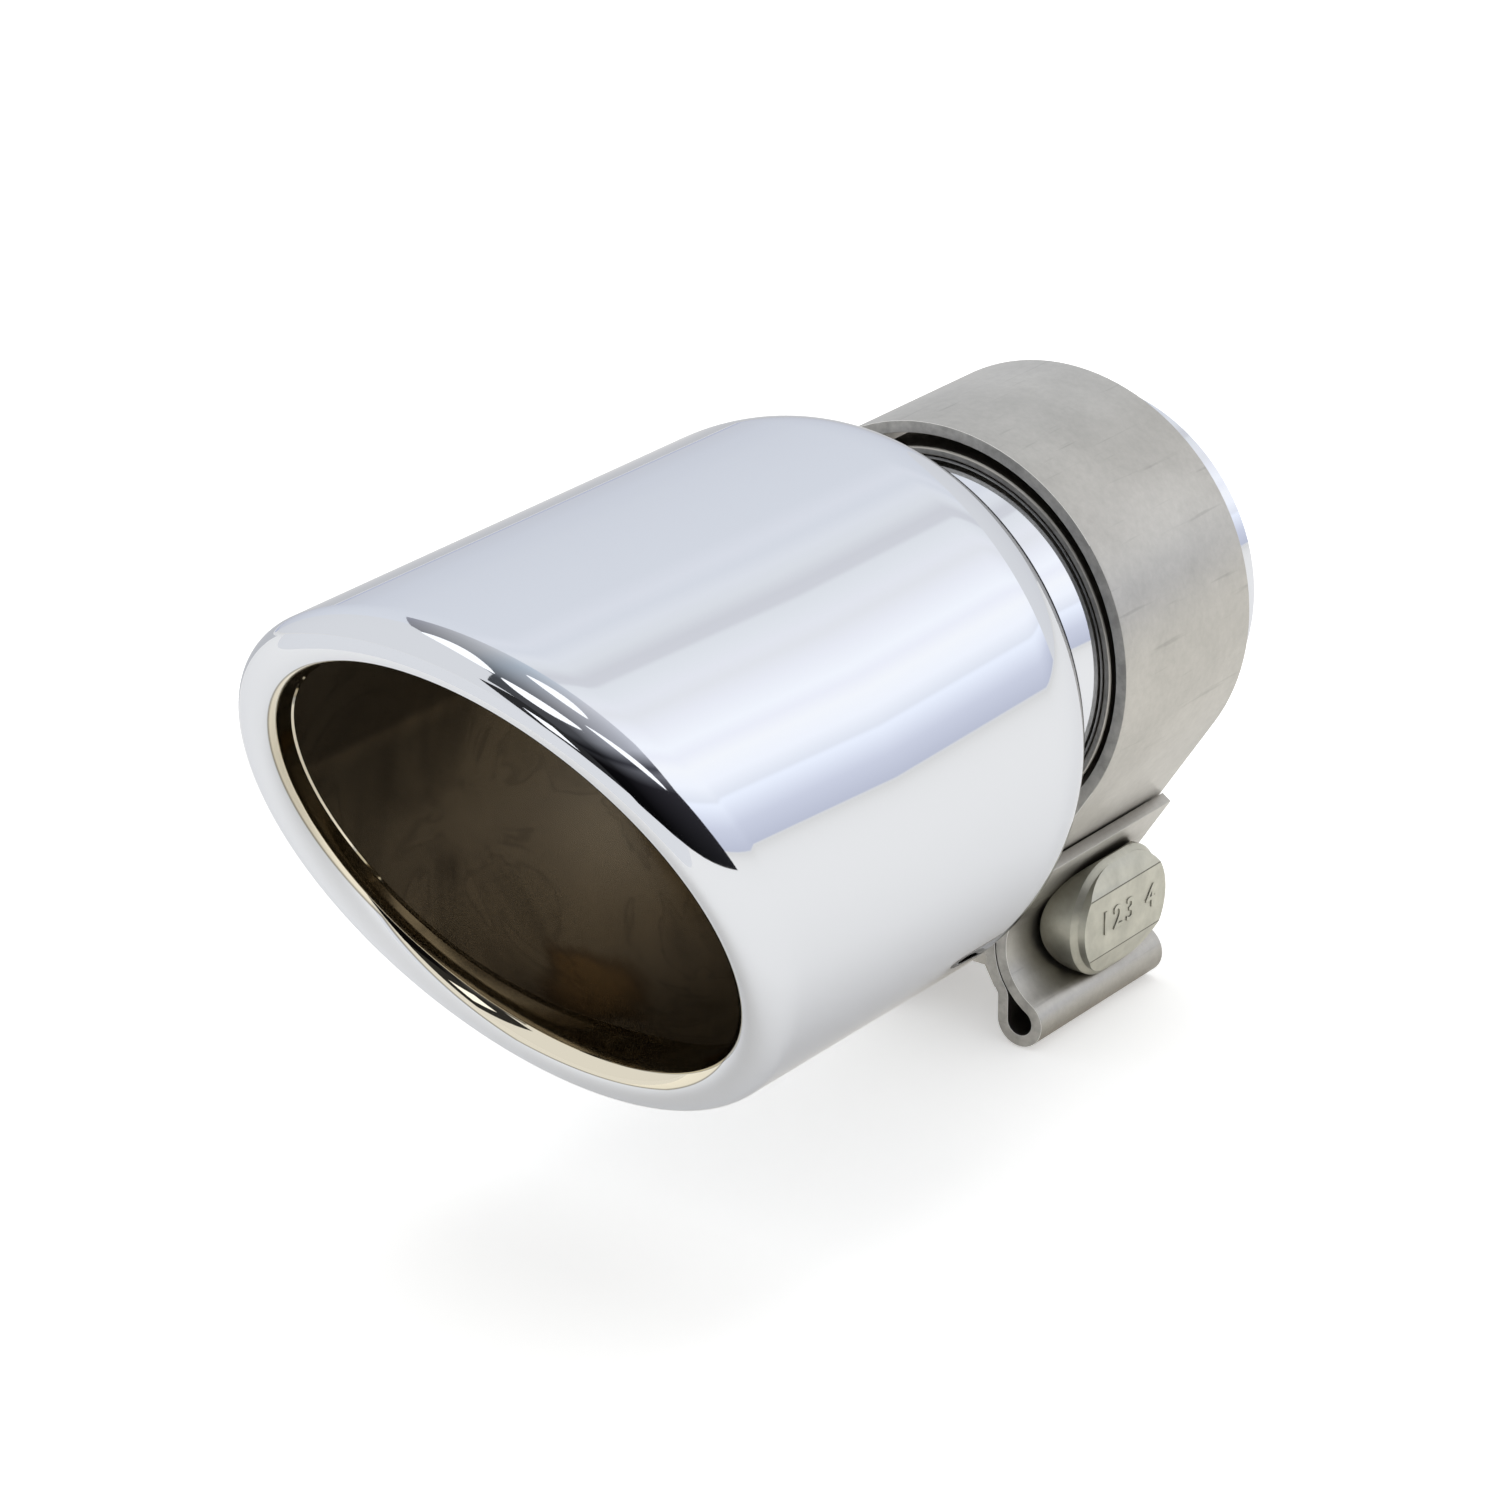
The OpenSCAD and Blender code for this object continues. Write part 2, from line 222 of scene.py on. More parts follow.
class StageSettings(bpy.types.PropertyGroup):
    """Studio and camera."""

    azimuth: FloatProperty(name="Azimuth", description="Camera's direction round the object",
                           default=math.radians(36.323), subtype="ANGLE")
    elevation: FloatProperty(name="Elevation", description="Camera's height above level",
                             default=math.radians(22.955), subtype="ANGLE")
    distance: FloatProperty(name="Distance", description="From the camera to the aim",
                            default=802.5 * MM, unit="LENGTH")
    aim: FloatVectorProperty(name="Aim", description="Point in the middle of the picture",
                             default=(-17.88 * MM, -59.65 * MM, -14.13 * MM), subtype="TRANSLATION")
    focal: FloatProperty(name="Focal length", description="In millimetres, on a 36 mm sensor", default=139.2)
    paper: FloatVectorProperty(name="Paper", description="Colour of the floor", subtype="COLOR",
                               default=linear("#f6f6f5"))
    world_level: FloatProperty(name="Room light", description="Level of the white room", default=0.78)
    floor_glow: FloatProperty(name="Floor glow", description="Light that makes the paper read white", default=0.28)
    floor_white: FloatProperty(name="Floor white", description="The same, towards the camera", default=0.40)
    lamp_power: FloatProperty(name="Lamp", description="Power of the soft lamp overhead", default=11.0)


# --- materials

EDGE_CHROME = "#e6e7ea"
BURNT_PLACE = (-0.016, -0.096, -0.035)


def mirror_metal(name, colour, roughness):
    """A plated mirror, which pales to near white where it is seen edge on."""
    made, tree, shader = material(name)
    shader.inputs["Base Color"].default_value = rgba(colour)
    shader.inputs["Metallic"].default_value = 1.0
    shader.inputs["Specular Tint"].default_value = rgba(linear(EDGE_CHROME))
    shader.inputs["Roughness"].default_value = roughness
    return made, tree, shader


def chrome_plate(settings):
    """Decorative chrome, electroplated over polished steel: a clean mirror, faintly blue, hardly blurred."""
    return mirror_metal("chrome_plate", settings.chrome, 0.03)[0]


def neck_chrome(settings):
    """The same chrome on the neck, which widens a little towards the sleeve, so it mirrors past the clamp."""
    made, tree, shader = mirror_metal("chrome_neck", settings.chrome, 0.04)
    place = node(tree, "ShaderNodeTexCoord").outputs["Object"]
    apart = node(tree, "ShaderNodeSeparateXYZ", {0: place})
    rise = node(tree, "ShaderNodeMath", {0: apart.outputs[1], 1: settings.neck_flare}, operation="MULTIPLY")
    bump = node(tree, "ShaderNodeBump", {"Height": rise.outputs[0], "Strength": 1.0, "Distance": 1.0})
    tree.links.new(bump.outputs[0], shader.inputs["Normal"])
    return made


def thin_chrome(settings):
    """Chrome that runs thin into the mouth: the mirror turns cream where the nickel below shows."""
    made, tree, shader = mirror_metal("chrome_over_nickel", settings.chrome, 0.04)
    place = node(tree, "ShaderNodeTexCoord").outputs["Object"]
    apart = node(tree, "ShaderNodeSeparateXYZ", {0: place})
    flat = node(tree, "ShaderNodeCombineXYZ", {0: apart.outputs[0], 2: apart.outputs[2]})
    radius = node(tree, "ShaderNodeVectorMath", {0: flat.outputs[0]}, operation="LENGTH")
    wider = node(tree, "ShaderNodeMapRange", {"Value": apart.outputs[2], "From Min": -18 * MM, "From Max": -34 * MM,
                                              "To Max": 2.2 * MM})
    inner = node(tree, "ShaderNodeMath", {0: radius.outputs["Value"], 1: wider.outputs[0]}, operation="SUBTRACT")
    throat = settings.body_radius - settings.lip_width
    depth = node(tree, "ShaderNodeMapRange", {
        "Value": inner.outputs[0], "From Min": throat + 1.2 * MM, "From Max": throat})
    tint = colour_ramp(tree, depth.outputs[0], [
        (0.42, settings.chrome), (0.52, shade(settings.nickel, 0.35)), (0.64, settings.nickel)])
    tree.links.new(tint, shader.inputs["Base Color"])
    return made


def soot_film(settings):
    """Bare drawn steel under a baked film of soot: dark brown and glossy, patchy, with darker run marks, a painted
    highlight along the sides just above mid-height and painted shade over the upper half.
    """
    made, tree, shader = material("sooted_steel")
    place = node(tree, "ShaderNodeTexCoord").outputs["Object"]
    clouds = node(tree, "ShaderNodeTexNoise", {"Vector": place, "Scale": 38.0, "Detail": 4.0,
                                               "Roughness": 0.5, "Distortion": 1.6})
    tint = colour_ramp(tree, clouds.outputs[0], [
        (0.30, shade(settings.soot, 0.55)), (0.47, shade(settings.soot, 0.92)),
        (0.495, shade(settings.soot, 0.74)), (0.51, shade(settings.soot, 0.96)),
        (0.72, shade(settings.soot, 1.08))])
    burnt = node(tree, "ShaderNodeVectorMath", {0: place, 1: BURNT_PLACE}, operation="DISTANCE")
    ragged = node(tree, "ShaderNodeMath", {0: clouds.outputs[0], 1: 14 * MM}, operation="MULTIPLY")
    reach = node(tree, "ShaderNodeMath", {0: burnt.outputs["Value"], 1: ragged.outputs[0]}, operation="ADD")
    near = node(tree, "ShaderNodeMapRange", {"Value": reach.outputs[0], "From Min": 8 * MM, "From Max": 17 * MM})
    stain = colour_ramp(tree, near.outputs[0], [
        (0.0, (1.15, 0.90, 0.55)), (0.45, (1.0, 0.78, 0.50)), (0.62, (0.66, 0.56, 0.44)), (0.85, (1.0, 1.0, 1.0))])
    # Painted light: the colour is raised in a streak just above mid-height and darkened over the upper half, for
    # light and shade inside the tube.
    apart = node(tree, "ShaderNodeSeparateXYZ", {0: place})
    height_share = node(tree, "ShaderNodeMapRange", {"Value": apart.outputs[2], "From Min": -9 * MM, "From Max": 9 * MM})
    painted_sheen_and_shade = colour_ramp(tree, height_share.outputs[0], [
        (0.0, (1.0, 1.0, 1.0)), (0.42, (1.0, 1.0, 1.0)), (0.55, (1.45, 1.4, 1.35)), (0.62, (0.85, 0.83, 0.80)),
        (1.0, (0.72, 0.69, 0.66))])
    tree.links.new(multiplied(tree, tint, (stain, painted_sheen_and_shade)), shader.inputs["Base Color"])
    shader.inputs["Metallic"].default_value = 0.8
    shader.inputs["Roughness"].default_value = 0.27
    return made


def stainless_sheet(settings):
    """Cold-rolled stainless sheet, pressed and tumbled: matte grey with faint clouds, small scratches and painted
    brownish shade in its hollows.
    """
    made, tree, shader = material("stainless_sheet")
    place = node(tree, "ShaderNodeTexCoord").outputs["Object"]
    clouds = node(tree, "ShaderNodeTexNoise", {"Vector": place, "Scale": 70.0, "Detail": 3.0, "Roughness": 0.6})
    tint = colour_ramp(tree, clouds.outputs[0], [
        (0.32, shade(settings.steel, 0.90)), (0.68, shade(settings.steel, 1.05))])
    grain = node(tree, "ShaderNodeTexNoise", {"Vector": place, "Scale": 900.0, "Detail": 3.0, "Roughness": 0.7})
    fine = colour_ramp(tree, grain.outputs[0], [(0.3, (0.90, 0.90, 0.90)), (0.7, (1.0, 1.0, 1.0))])
    rubbed = node(tree, "ShaderNodeMapping", {"Vector": place, "Rotation": (0.5, 0.3, 0.2),
                                              "Scale": (1500.0, 60.0, 900.0)})
    marks = node(tree, "ShaderNodeTexNoise", {"Vector": rubbed.outputs[0], "Scale": 1.0, "Detail": 2.0})
    scratched = colour_ramp(tree, marks.outputs[0], [(0.27, (0.86, 0.86, 0.86)), (0.35, (1.0, 1.0, 1.0))])
    # Painted shade: ambient occlusion darkens the colour, a little towards brown, in hollows and between parts.
    hollow = node(tree, "ShaderNodeAmbientOcclusion", {"Distance": 14 * MM}, samples=6)
    painted_hollow_shade = colour_ramp(tree, hollow.outputs["AO"], [(0.35, (0.60, 0.57, 0.53)), (0.80, (1.0, 1.0, 1.0))])
    tree.links.new(multiplied(tree, tint, (fine, scratched, painted_hollow_shade)), shader.inputs["Base Color"])
    bump = node(tree, "ShaderNodeBump", {"Height": grain.outputs[0], "Strength": 0.25, "Distance": 0.03 * MM})
    tree.links.new(bump.outputs[0], shader.inputs["Normal"])
    shader.inputs["Metallic"].default_value = 1.0
    shader.inputs["Roughness"].default_value = 0.4
    return made


def sheared_steel(settings, name, share):
    """Edge of the sheet as the shear left it: duller and darker than the faces, with lines across."""
    made, tree, shader = material(name)
    place = node(tree, "ShaderNodeTexCoord").outputs["Object"]
    tears = node(tree, "ShaderNodeTexNoise", {"Vector": place, "Scale": 500.0, "Detail": 3.0, "Roughness": 0.7})
    tint = colour_ramp(tree, tears.outputs[0], [
        (0.35, shade(settings.steel, share * 0.7)), (0.65, shade(settings.steel, share))])
    tree.links.new(tint, shader.inputs["Base Color"])
    bump = node(tree, "ShaderNodeBump", {"Height": tears.outputs[0], "Strength": 0.5, "Distance": 0.05 * MM})
    tree.links.new(bump.outputs[0], shader.inputs["Normal"])
    shader.inputs["Metallic"].default_value = 0.5
    shader.inputs["Roughness"].default_value = 0.45
    return made


def burr_painted_highlight():
    """Thin rim along the band's outer front edge, where the shear left a burr, painted near white: a painted
    highlight.
    """
    made = bpy.data.materials.get("burr_painted_highlight")
    if made is None:
        made, tree, shader = material("burr_painted_highlight")
        shader.inputs["Base Color"].default_value = rgba(linear("#efeeea"))
        shader.inputs["Metallic"].default_value = 0.2
        shader.inputs["Roughness"].default_value = 0.45
    return made


def passivated_zinc(settings):
    """Forged steel, zinc plated and passivated: satin grey-green with yellowish clouds and painted shade in its
    hollows.
    """
    made, tree, shader = material("passivated_zinc")
    place = node(tree, "ShaderNodeTexCoord").outputs["Object"]
    clouds = node(tree, "ShaderNodeTexNoise", {"Vector": place, "Scale": 260.0, "Detail": 4.0, "Roughness": 0.6})
    tint = colour_ramp(tree, clouds.outputs[0], [
        (0.34, shade(settings.zinc, 0.82)), (0.66, shade(settings.zinc, 1.03))])
    # Painted shade: ambient occlusion darkens the colour in hollows and where the head sits against the band.
    hollow = node(tree, "ShaderNodeAmbientOcclusion", {"Distance": 8 * MM}, samples=6)
    painted_hollow_shade = colour_ramp(tree, hollow.outputs["AO"], [(0.35, (0.50, 0.49, 0.46)), (0.95, (1.0, 1.0, 1.0))])
    tree.links.new(multiplied(tree, tint, (painted_hollow_shade,)), shader.inputs["Base Color"])
    bump = node(tree, "ShaderNodeBump", {"Height": clouds.outputs[0], "Strength": 0.6, "Distance": 0.12 * MM})
    tree.links.new(bump.outputs[0], shader.inputs["Normal"])
    shader.inputs["Metallic"].default_value = 0.85
    shader.inputs["Roughness"].default_value = 0.4
    return made


def bright_zinc():
    """Bright zinc on turned and pressed steel: clean satin silver, slightly blue."""
    made, tree, shader = material("bright_zinc")
    shader.inputs["Base Color"].default_value = rgba(linear("#c3c6ca"))
    shader.inputs["Metallic"].default_value = 1.0
    shader.inputs["Roughness"].default_value = 0.28
    return made


# --- mesh tools


def finish_mesh(name, mesh_data, materials, sharp_angle=20.0):
    """Turns a bmesh into an object at the origin, smooth except at its sharp edges."""
    limit = math.radians(sharp_angle)
    for face in mesh_data.faces:
        face.smooth = True
    for edge in mesh_data.edges:
        edge.smooth = not (len(edge.link_faces) == 2 and edge.calc_face_angle() > limit)
    mesh = bpy.data.meshes.new(name)
    mesh_data.to_mesh(mesh)
    mesh_data.free()
    for entry in materials:
        mesh.materials.append(entry)
    made = bpy.data.objects.new(name, mesh)
    bpy.context.scene.collection.objects.link(made)
    return made


def copy_of(node_name):
    """A merged copy of a CAD piece's mesh, its flat faces joined up."""
    copied = bmesh.new()
    copied.from_mesh(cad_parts[node_name].data)
    bmesh.ops.remove_doubles(copied, verts=copied.verts, dist=1e-6)
    bmesh.ops.dissolve_limit(copied, angle_limit=math.radians(0.4), verts=copied.verts, edges=copied.edges)
    for face in copied.faces:
        face.material_index = 0
    return copied


def break_edges(mesh_data, width, segments=2, above=35.0):
    """Rounds every edge that turns by more than an angle."""
    limit = math.radians(above)
    sharp = [e for e in mesh_data.edges if len(e.link_faces) == 2 and e.calc_face_angle() > limit]
    bmesh.ops.bevel(mesh_data, geom=sharp, offset=width, offset_type="OFFSET", segments=segments,
                    profile=0.5, affect="EDGES", material=-1, clamp_overlap=True)


def stands_for(piece, node_name):
    """Hangs a finished piece under the root body and hides the CAD piece it stands for."""
    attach(piece, "root")
    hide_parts(node_name)


# --- shell

ROLL_STEPS = 28
HEM_STEPS = 4
HEM_UNIT = 5 * MM
SOFT_CORNER = math.radians(35)
SHELL_SHARP = 32.0
LIP, OUTSIDE, INSIDE, NECK = "lip", "outside", "inside", "neck"


def shell_profile(s):
    """Section of the shell as (radius, y, zone) points, in order, closed. The lip is drawn unslanted."""
    neck = s.bore + s.wall
    corner = neck + s.fillet
    middle = -s.shoulder_back - s.shoulder_length
    half = s.lip_width / 2
    path = s.body_radius - half
    brim = 0.3 * MM
    sleeve_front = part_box("sleeve")[0][1]
    loft_end = -s.cut + math.tan(s.slant) * path + 1.2 * s.lip_corner + 2 * MM

    def shoulder(inset):
        return [(corner + (s.body_radius - corner - inset) * math.cos(u),
                 middle + (s.shoulder_length - inset) * math.sin(u))
                for u in (math.radians(3 * i) for i in range(31))]

    def neck_side(inset, waist=0.0):
        bend = s.fillet + waist + inset
        rise = [(corner - bend * math.sin(v), bend * (1 - math.cos(v)) - s.shoulder_back - inset)
                for v in (math.radians(7.5 * i) for i in range(1, 13))]
        return rise + [(neck - inset, sleeve_front)]

    outer = [(neck - brim, 0.0), (neck, -brim)] + neck_side(0, s.waist)[::-1] + shoulder(0)[::-1]
    points = [(r, y, NECK if r < neck + brim and y < sleeve_front + brim else OUTSIDE) for r, y in outer]
    points += [(s.body_radius, loft_end, OUTSIDE)]
    for i in range(ROLL_STEPS + 1):
        u = math.pi * i / ROLL_STEPS
        back = s.lip_corner if u < math.pi / 2 else 0.0
        points.append((path + half * math.cos(u), -s.cut + back - (s.lip_bulge + back) * math.sin(u), LIP))
    throat = s.body_radius - s.lip_width
    for i in range(1, HEM_STEPS):
        points.append((throat, -s.cut + HEM_UNIT * 0.93 * i / HEM_STEPS, LIP))
    points += [(throat, -s.cut + HEM_UNIT * 0.82, LIP), (throat - s.burr, -s.cut + HEM_UNIT * 0.89, LIP),
               (throat - s.burr, -s.cut + HEM_UNIT * 0.95, LIP), (throat + brim, -s.cut + HEM_UNIT, LIP),
               (throat + s.wall - brim, -s.cut + HEM_UNIT, INSIDE),
               (throat + s.wall, -s.cut + HEM_UNIT * 0.93, INSIDE)]
    for i in range(13):
        u = math.pi * (12 - i) / 12
        back = s.lip_corner if u < math.pi / 2 else 0.0
        points.append((path + (half - s.wall) * math.cos(u),
                       -s.cut + back - (s.lip_bulge + back - s.wall) * math.sin(u), INSIDE))
    points += [(s.body_radius - s.wall, loft_end, INSIDE)]
    inner = shoulder(s.wall) + neck_side(s.wall) + [(s.bore, -brim), (s.bore + brim, 0.0)]
    points += [(r, y, INSIDE) for r, y in inner]
    return points


def lean(point, s):
    """Moves a point of the unslanted lip to its place on the slanted mouth."""
    half = s.lip_width / 2
    path = s.body_radius - half
    slope = -math.tan(s.slant)
    angle = math.atan2(point.z, point.x)
    radius = math.hypot(point.x, point.z)
    ca, sa = math.cos(angle), math.sin(angle)
    middle = Vector((path * ca, -s.cut + slope * path * sa, path * sa))
    outward = Vector((ca, 0.0, sa))
    forward = Vector((-slope * sa * ca, -1.0, slope * ca * ca)) / math.sqrt(1 + (slope * ca) ** 2)
    behind = point.y + s.cut
    if radius > path:
        share = 0.1 + 0.9 * max(0.0, math.cos(angle - SOFT_CORNER)) ** 1.5
        roll = (s.lip_corner - behind) / (s.lip_bulge + s.lip_corner)
        behind = s.lip_corner * share - (s.lip_bulge + s.lip_corner * share) * roll
    if behind <= 1e-7 or radius > path:
        moved = middle + (radius - path) * outward - behind * forward
        if behind > 0.0:
            across = radius / math.hypot(moved.x, moved.z)
            moved.x *= across
            moved.z *= across
        return moved
    hem = s.hem_side + (s.hem_low - s.hem_side) * max(0.0, math.cos(angle - s.hem_angle)) ** 6
    return Vector((point.x, middle.y + hem * behind / HEM_UNIT, point.z))


class BUILD_OT_shell(bpy.types.Operator):
    """Spins the chromed shell and leans its rolled lip over to the slant of the mouth"""

    bl_idname = "exhaust_tip.shell"
    bl_label = "Shell"

    def execute(self, context):
        s = context.scene.tip_shell
        profile = shell_profile(s)
        shell = bmesh.new()
        ring = [shell.verts.new((r, y, 0.0)) for r, y, zone in profile]
        edges = [shell.edges.new((ring[i], ring[(i + 1) % len(ring)])) for i in range(len(ring))]
        zones = KDTree(len(profile))
        for i, (r, y, zone) in enumerate(profile):
            after = profile[(i + 1) % len(profile)]
            zones.insert(((r + after[0]) / 2, (y + after[1]) / 2, 0.0), i)
        zones.balance()
        bmesh.ops.spin(shell, geom=ring + edges, cent=(0, 0, 0), axis=(0, 1, 0), dvec=(0, 0, 0),
                       angle=math.tau, steps=s.steps, use_merge=True, use_duplicate=False)
        bmesh.ops.remove_doubles(shell, verts=shell.verts, dist=1e-6)
        bmesh.ops.recalc_face_normals(shell, faces=shell.faces)
        index = {OUTSIDE: 0, LIP: 1, INSIDE: 2, NECK: 3}
        for face in shell.faces:
            radius = sum(math.hypot(v.co.x, v.co.z) for v in face.verts) / len(face.verts)
            along = sum(v.co.y for v in face.verts) / len(face.verts)
            face.material_index = index[profile[zones.find((radius, along, 0.0))[1]][2]]
        reach = -s.cut + max(HEM_UNIT, s.lip_corner) + 1e-7
        for vert in shell.verts:
            if vert.co.y < reach:
                vert.co = lean(vert.co, s)
        finishes = [chrome_plate(s), thin_chrome(s), soot_film(s), neck_chrome(s)]
        made = finish_mesh("chromed_shell", shell, finishes, SHELL_SHARP)
        stands_for(made, "tip_shell")
        return {"FINISHED"}


# --- clamp

EDGE_STEPS = 4
SHEARED_NORMAL = 0.98
BURR_HIGHLIGHT_REACH = 0.6 * MM
THREAD_CREST = 4.0 * MM
THREAD_DEPTH = 0.61
THREAD_STEPS = 36
THREAD_START = 0.4 * MM
HEAD_STEPS = 6


class BUILD_OT_clamp(bpy.types.Operator):
    """Finishes the band and the sleeve: broken edges, matte sheet and sheared ends"""

    bl_idname = "exhaust_tip.clamp"
    bl_label = "Clamp band and sleeve"

    def execute(self, context):
        s = context.scene.tip_clamp
        for name, source, slot_name, share in (("band_with_ears", "clamp_band", "band_steel", 0.95),
                                               ("split_sleeve", "sleeve", "sleeve_steel", 0.6)):
            sheet = copy_of(source)
            break_edges(sheet, s.edge, segments=EDGE_STEPS)
            # Faces across y take the sheared finish; faces on the outer front edge of the band take the near-white
            # rim, a painted highlight along the burr.
            for face in sheet.faces:
                middle = face.calc_center_median()
                if abs(face.normal.y) > SHEARED_NORMAL:
                    face.material_index = 1
                elif (face.normal.y < -0.2 and middle.y < BAND_FRONT + BURR_HIGHLIGHT_REACH
                      and math.hypot(middle.x, middle.z) > BAND_RADIUS - BURR_HIGHLIGHT_REACH):
                    face.material_index = 2
            finishes = [stainless_sheet(s), sheared_steel(s, "sheared_" + source, share), burr_painted_highlight()]
            made = finish_mesh(name, sheet, finishes)
            stands_for(made, source)
        return {"FINISHED"}


class BUILD_OT_bolt(bpy.types.Operator):
    """Finishes the T-head bolt: forged edges, raised digits and a cut thread"""

    bl_idname = "exhaust_tip.bolt"
    bl_label = "Bolt"

    def execute(self, context):
        s = context.scene.tip_clamp
        zinc = passivated_zinc(s)
        bolt = copy_of("t_bolt")
        nut_face = NUT_LOW[0] + 1.0 * MM
        bmesh.ops.bisect_plane(bolt, geom=bolt.verts[:] + bolt.edges[:] + bolt.faces[:], dist=1e-7,
                               plane_co=(nut_face, 0, 0), plane_no=(1, 0, 0), clear_inner=True)
        break_edges(bolt, s.forged_edge, segments=HEAD_STEPS, above=25.0)
        # Thin strips bevelled along the head's creases take a darker colour: painted shade that marks the creases.
        creases = [e for e in bolt.edges
                   if len(e.link_faces) == 2 and e.calc_length() > 2 * MM
                   and abs(e.verts[0].co.x - e.verts[1].co.x) < MM / 10
                   and math.radians(18) < e.calc_face_angle() < math.radians(21)]
        lines = bmesh.ops.bevel(bolt, geom=creases, offset=0.1 * MM, offset_type="OFFSET", segments=1,
                                profile=0.5, affect="EDGES", material=-1, clamp_overlap=True)
        for face in lines["faces"]:
            face.material_index = 1
        self.add_thread(bolt, s, nut_face)
        made = finish_mesh("forged_bolt", bolt, [zinc, self.painted_crease_shade()], 17.0)
        stands_for(made, "t_bolt")
        self.add_digits(s, zinc)
        return {"FINISHED"}

    def painted_crease_shade(self):
        """Painted shade: a darker colour on thin strips along the creases of the head."""
        made, tree, shader = material("painted_crease_shade")
        shader.inputs["Base Color"].default_value = rgba(linear("#6e6d63"))
        shader.inputs["Roughness"].default_value = 0.7
        return made

    def add_thread(self, bolt, s, nut_face):
        """Winds the thread from inside the nut to the bolt's end, round a plain core."""
        centre = (Vector(NUT_LOW) + Vector(NUT_HIGH)) / 2
        root = THREAD_CREST - THREAD_DEPTH * s.pitch
        end = BOLT_LOW[0]
        start = end + THREAD_START
        turns = int((nut_face - end - THREAD_START) / s.pitch)
        verts = [bolt.verts.new((start + s.pitch * share, centre.y, centre.z + radius))
                 for share, radius in ((0.0, root), (0.44, THREAD_CREST), (0.56, THREAD_CREST), (1.0, root))]
        edges = [bolt.edges.new(pair) for pair in zip(verts, verts[1:])]
        bmesh.ops.spin(bolt, geom=verts + edges, cent=centre, axis=(1, 0, 0),
                       dvec=(s.pitch / THREAD_STEPS, 0, 0), angle=math.tau * turns, steps=THREAD_STEPS * turns)
        core = bmesh.ops.create_cone(bolt, cap_ends=True, segments=48, radius1=root + 0.02 * MM,
                                     radius2=root + 0.02 * MM, depth=nut_face - end)
        turn = Matrix.Rotation(math.radians(90), 4, "Y")
        place = Matrix.Translation(((nut_face + end) / 2, centre.y, centre.z))
        bmesh.ops.transform(bolt, matrix=place @ turn, verts=core["verts"])
        bmesh.ops.remove_doubles(bolt, verts=bolt.verts, dist=2e-6)

    def add_digits(self, s, finish):
        """Sets the raised digits on the flat of the head, reading towards the pipe."""
        letters = bpy.data.curves.new("digits", "FONT")
        letters.body = s.digits
        letters.size = s.digit_height * 1.4
        letters.extrude = s.digit_rise
        letters.bevel_depth = 0.07 * MM
        letters.space_character = 1.3
        letters.align_x = "CENTER"
        letters.align_y = "CENTER"
        holder = bpy.data.objects.new("digits", letters)
        bpy.context.scene.collection.objects.link(holder)
        bpy.context.view_layer.update()
        mesh = bpy.data.meshes.new_from_object(holder)
        bpy.data.objects.remove(holder)
        middle = (Vector(BOLT_LOW) + Vector(BOLT_HIGH)) / 2
        turned = Matrix(((0, 0, 1, BOLT_HIGH[0]), (1, 0, 0, middle.y + 0.6 * MM),
                         (0, 1, 0, middle.z), (0, 0, 0, 1)))
        mesh.transform(turned)
        mesh.name = "bolt_digits"
        mesh.materials.clear()
        mesh.materials.append(finish)
        made = bpy.data.objects.new("bolt_digits", mesh)
        bpy.context.scene.collection.objects.link(made)
        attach(made, "root")


class BUILD_OT_small_parts(bpy.types.Operator):
    """Finishes the nut, the saddle and the spacer between the ears"""

    bl_idname = "exhaust_tip.small_parts"
    bl_label = "Nut, saddle and spacer"

    def execute(self, context):
        s = context.scene.tip_clamp
        sheet = stainless_sheet(s)
        for name, source, finish, slot_name in (("flanged_nut", "flange_nut", bright_zinc(), "zinc_steel"),
                                                ("bar_saddle", "saddle", sheet, "band_steel"),
                                                ("ear_spacer", "spacer", sheet, "sleeve_steel")):
            part = copy_of(source)
            break_edges(part, s.edge * 1.4)
            stands_for(finish_mesh(name, part, [finish]), source)
        return {"FINISHED"}


# --- studio

STUDIO_CENTRE = Vector((0.0, -0.1, 0.0))
TENT_RADIUS = 1.2
FLAG_RADIUS = 0.4
STRIP_RADIUS = 0.38
STRIP_STEPS = 16
FLOOR_HALF = 4.0
FLOOR_GAP = 0.3 * MM
WARM_PAPER = (1.0, 0.93, 0.80)
LAMP_SIZE = 1.6
LAMP_PLACE = (-0.3, 0.1, 1.9)
SENSOR_WIDTH = 36.0
FAR_END = 50.0


def direction(azimuth, elevation):
    """Unit vector; azimuth 0 is towards the pipe and 90 to the right, in degrees."""
    a, e = math.radians(azimuth), math.radians(elevation)
    return Vector((math.sin(a) * math.cos(e), math.cos(a) * math.cos(e), math.sin(e)))


def only_mirrored(made):
    """Leaves a piece of the studio to be seen in reflections alone."""
    made.visible_camera = False
    made.visible_diffuse = False
    made.visible_shadow = False
    return made


def stage_card(name, azimuth, elevation, distance, width, height, finish):
    """A flat card of the studio, facing the object, that only shows in reflections."""
    card = bmesh.new()
    bmesh.ops.create_grid(card, x_segments=1, y_segments=1, size=0.5)
    out = direction(azimuth, elevation)
    side = Vector((out.y, -out.x, 0.0)).normalized()
    up = side.cross(out).normalized()
    turn = Matrix((side, up, -out)).transposed().to_4x4()
    place = Matrix.Translation(STUDIO_CENTRE + out * distance)
    size = Matrix.Diagonal((width, height, 1.0, 1.0))
    bmesh.ops.transform(card, matrix=place @ turn @ size, verts=card.verts)
    return only_mirrored(finish_mesh(name, card, [finish]))


